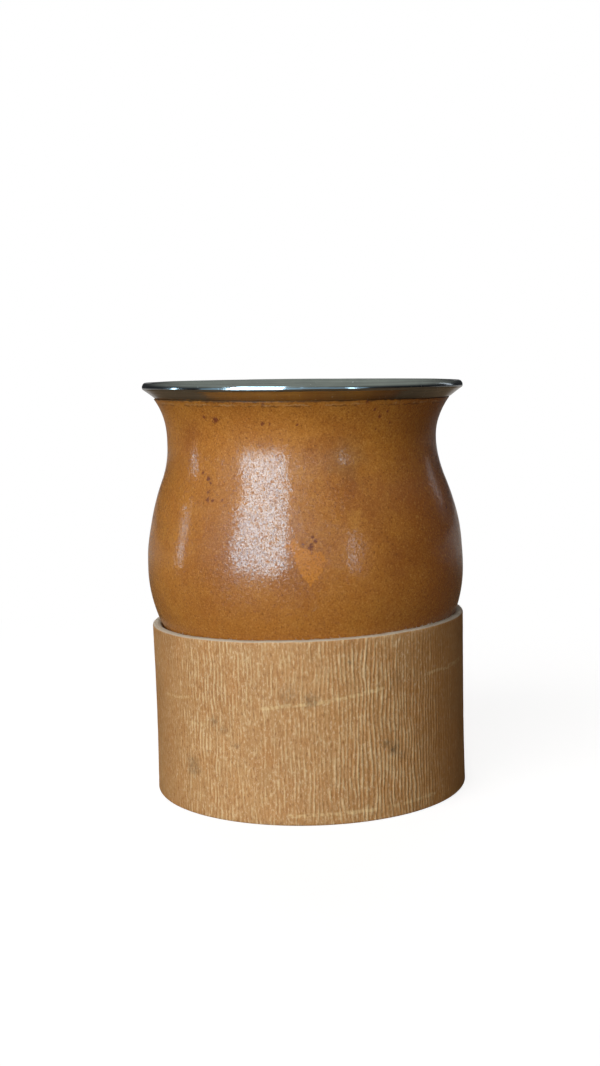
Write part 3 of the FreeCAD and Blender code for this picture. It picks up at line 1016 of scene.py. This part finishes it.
def make_thread():
    line = thread_path()
    ahead = np.gradient(line, axis=0)
    ahead /= np.linalg.norm(ahead, axis=1)[:, None]
    side = np.cross(ahead[0], [0, 0, 1.0])
    frames = []
    for heading in ahead:
        side = side - heading * side.dot(heading)
        side /= np.linalg.norm(side)
        frames.append((side, np.cross(heading, side)))
    vertices = []
    faces = []
    for strand in range(3):
        add_strand(vertices, faces, line, frames, strand)
    for end in (0, -1):
        add_knot(vertices, faces, line[end] + np.array([0, -0.25, 0]))
    piece = mesh_piece("thread", np.array(vertices), faces, make_thread_material())
    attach(piece, "root")
    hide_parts("seam_thread")
    return piece


make_gourd()
make_rim()
make_band()
make_fibres()
make_thread()


# Floor, light and camera
def make_floor():
    """A pale table that clips to white away from the cup and keeps its soft shadow."""
    mesh = bpy.data.meshes.new("floor")
    corners = [(-4, -4, 0), (4, -4, 0), (4, 4, 0), (-4, 4, 0)]
    mesh.from_pydata(corners, [], [(0, 1, 2, 3)])
    floor = add_object("floor", mesh)
    material = bpy.data.materials.new("pale_table")
    material.use_nodes = True
    n = Nodes(material.node_tree)
    material.node_tree.nodes.clear()
    place = n.make("TexCoord").outputs["Object"]
    away = n.vector("LENGTH", place)
    near = n.span(away, 90 * MM, 300 * MM, 1.0, 0.0)
    lit = n.make("BsdfDiffuse", {"Color": (0.30, 0.30, 0.30)}).outputs[0]
    # Inside the band no light reaches the table
    uncovered = n.span(away, 40.0 * MM, 41.2 * MM)
    glow = n.make("Emission", {"Color": (1, 1, 1), "Strength": n.times(uncovered, 0.83)})
    white = n.make("Emission", {"Color": (1, 1, 1), "Strength": 1.0})
    shadowed = n.make("AddShader", {0: lit, 1: glow.outputs[0]})
    shown = n.blend(near, white.outputs[0], shadowed.outputs[0])
    # The camera sees the table white but for the shadow, and shiny surfaces see its far part pale
    path = n.make("LightPath").outputs
    gloss = n.math("MAXIMUM", path["Is Glossy Ray"], path["Is Transmission Ray"])
    gloss = n.times(gloss, n.span(n.part(place, "Y"), 0.25, 0.6, 0.0, 0.3))
    dim = n.make("BsdfDiffuse", {"Color": (0.20, 0.14, 0.085)}).outputs[0]
    near_part = n.blend(path["Is Glossy Ray"], lit, dim)
    seen = n.blend(n.math("MAXIMUM", path["Is Camera Ray"], gloss), near_part, shown)
    n.make("OutputMaterial", {"Surface": seen})
    mesh.materials.append(material)


def make_world():
    """A dim room with a paler backdrop behind the cup for shiny surfaces; the camera sees white."""
    world = bpy.data.worlds.new("studio")
    bpy.context.scene.world = world
    world.use_nodes = True
    world.node_tree.nodes.clear()
    n = Nodes(world.node_tree)
    path = n.make("LightPath").outputs
    heading = n.make("SeparateXYZ", {"Vector": n.make("TexCoord").outputs["Generated"]}).outputs
    ceiling = n.span(heading["Z"], 0.15, 0.80)
    room = n.mix(ceiling, (0.030, 0.031, 0.033), (0.38, 0.40, 0.35))
    backdrop = n.times(n.span(heading["Y"], 0.975, 0.995), n.span(heading["Z"], 0.42, 0.25))
    room = n.mix(backdrop, room, (0.26, 0.26, 0.26))
    gloss = n.math("MAXIMUM", path["Is Glossy Ray"], path["Is Transmission Ray"])
    seen = n.mix(path["Is Camera Ray"], room, (1, 1, 1))
    ambient = (0.040, 0.040, 0.042)
    colour = n.mix(n.math("MAXIMUM", gloss, path["Is Camera Ray"]), ambient, seen)
    background = n.make("Background", {"Color": colour, "Strength": 1.0})
    n.make("OutputWorld", {"Surface": background.outputs[0]})


def soft_lamp(name, azimuth, low, high, half_width, radiance, colour,
              distance=1.0, diffuse=True, glossy=True):
    """An upright panel lamp, its place and ends in degrees as seen from the cup, left being negative."""
    middle = 75 * MM
    bottom = middle + distance * math.tan(math.radians(low))
    top = middle + distance * math.tan(math.radians(high))
    width = 2 * distance * math.tan(math.radians(half_width))
    lamp = bpy.data.lights.new(name, "AREA")
    lamp.shape = "RECTANGLE"
    lamp.size = width
    lamp.size_y = top - bottom
    lamp.energy = radiance * math.pi * width * (top - bottom)
    lamp.color = colour
    piece = add_object(name, lamp)
    turn = math.radians(azimuth)
    piece.location = (distance * math.sin(turn), -distance * math.cos(turn), (bottom + top) / 2)
    piece.rotation_euler = (math.pi / 2, 0, turn)
    piece.visible_camera = False
    piece.visible_diffuse = diffuse
    piece.visible_glossy = glossy


def make_lights():
    cool = (0.56, 0.82, 1.0)
    soft_lamp("window", -27, -5, 60, 34, 3.25, (1.0, 0.98, 0.96), glossy=False)
    soft_lamp("window_gloss", -33, -2, 45, 19, 14.5, cool, diffuse=False)
    soft_lamp("window_sill", -33, -18, -2, 19, 1.2, cool, diffuse=False)
    soft_lamp("lit_wall", -15, -3, 26, 60, 0.55, cool, distance=1.1, diffuse=False)
    soft_lamp("side_slit", -100, -4, 14, 2.2, 8.0, cool, diffuse=False)
    soft_lamp("small_pane", 34, -3, 14, 2.2, 7.0, cool, diffuse=False)
    soft_lamp("back_fill", 180, -3, 50, 30, 1.7, (1.0, 0.97, 0.94), glossy=False)
    soft_lamp("far_right", 128, 6, 28, 4.0, 0.9, (0.85, 0.92, 1.0), diffuse=False)


def make_camera():
    """The photograph's view: 600 by 1066 pixels, the lens and place found from the cup's outline."""
    photo_height = 1066
    focal_pixels = 1478.24
    distance = 400.35
    eye_height = 116.19
    pitch = math.radians(6.75)
    yaw = math.radians(-0.21)
    roll = math.radians(-1.581)
    forward = Vector((math.sin(yaw) * math.cos(pitch), math.cos(yaw) * math.cos(pitch), -math.sin(pitch)))
    level_right = forward.cross(Vector((0, 0, 1))).normalized()
    level_up = level_right.cross(forward)
    right = math.cos(roll) * level_right + math.sin(roll) * level_up
    up = math.cos(roll) * level_up - math.sin(roll) * level_right
    data = bpy.data.cameras.new("view")
    data.sensor_width = 36.0
    data.lens = focal_pixels * data.sensor_width / photo_height
    data.clip_start = 0.01
    data.clip_end = 50
    camera = add_object("view", data)
    place = Vector((0, -distance, eye_height)) * MM
    camera.matrix_world = Matrix((
        (right.x, up.x, -forward.x, place.x),
        (right.y, up.y, -forward.y, place.y),
        (right.z, up.z, -forward.z, place.z),
        (0, 0, 0, 1),
    ))
    bpy.context.scene.camera = camera


make_floor()
make_world()
make_lights()
make_camera()
bpy.context.scene.view_settings.view_transform = "Standard"
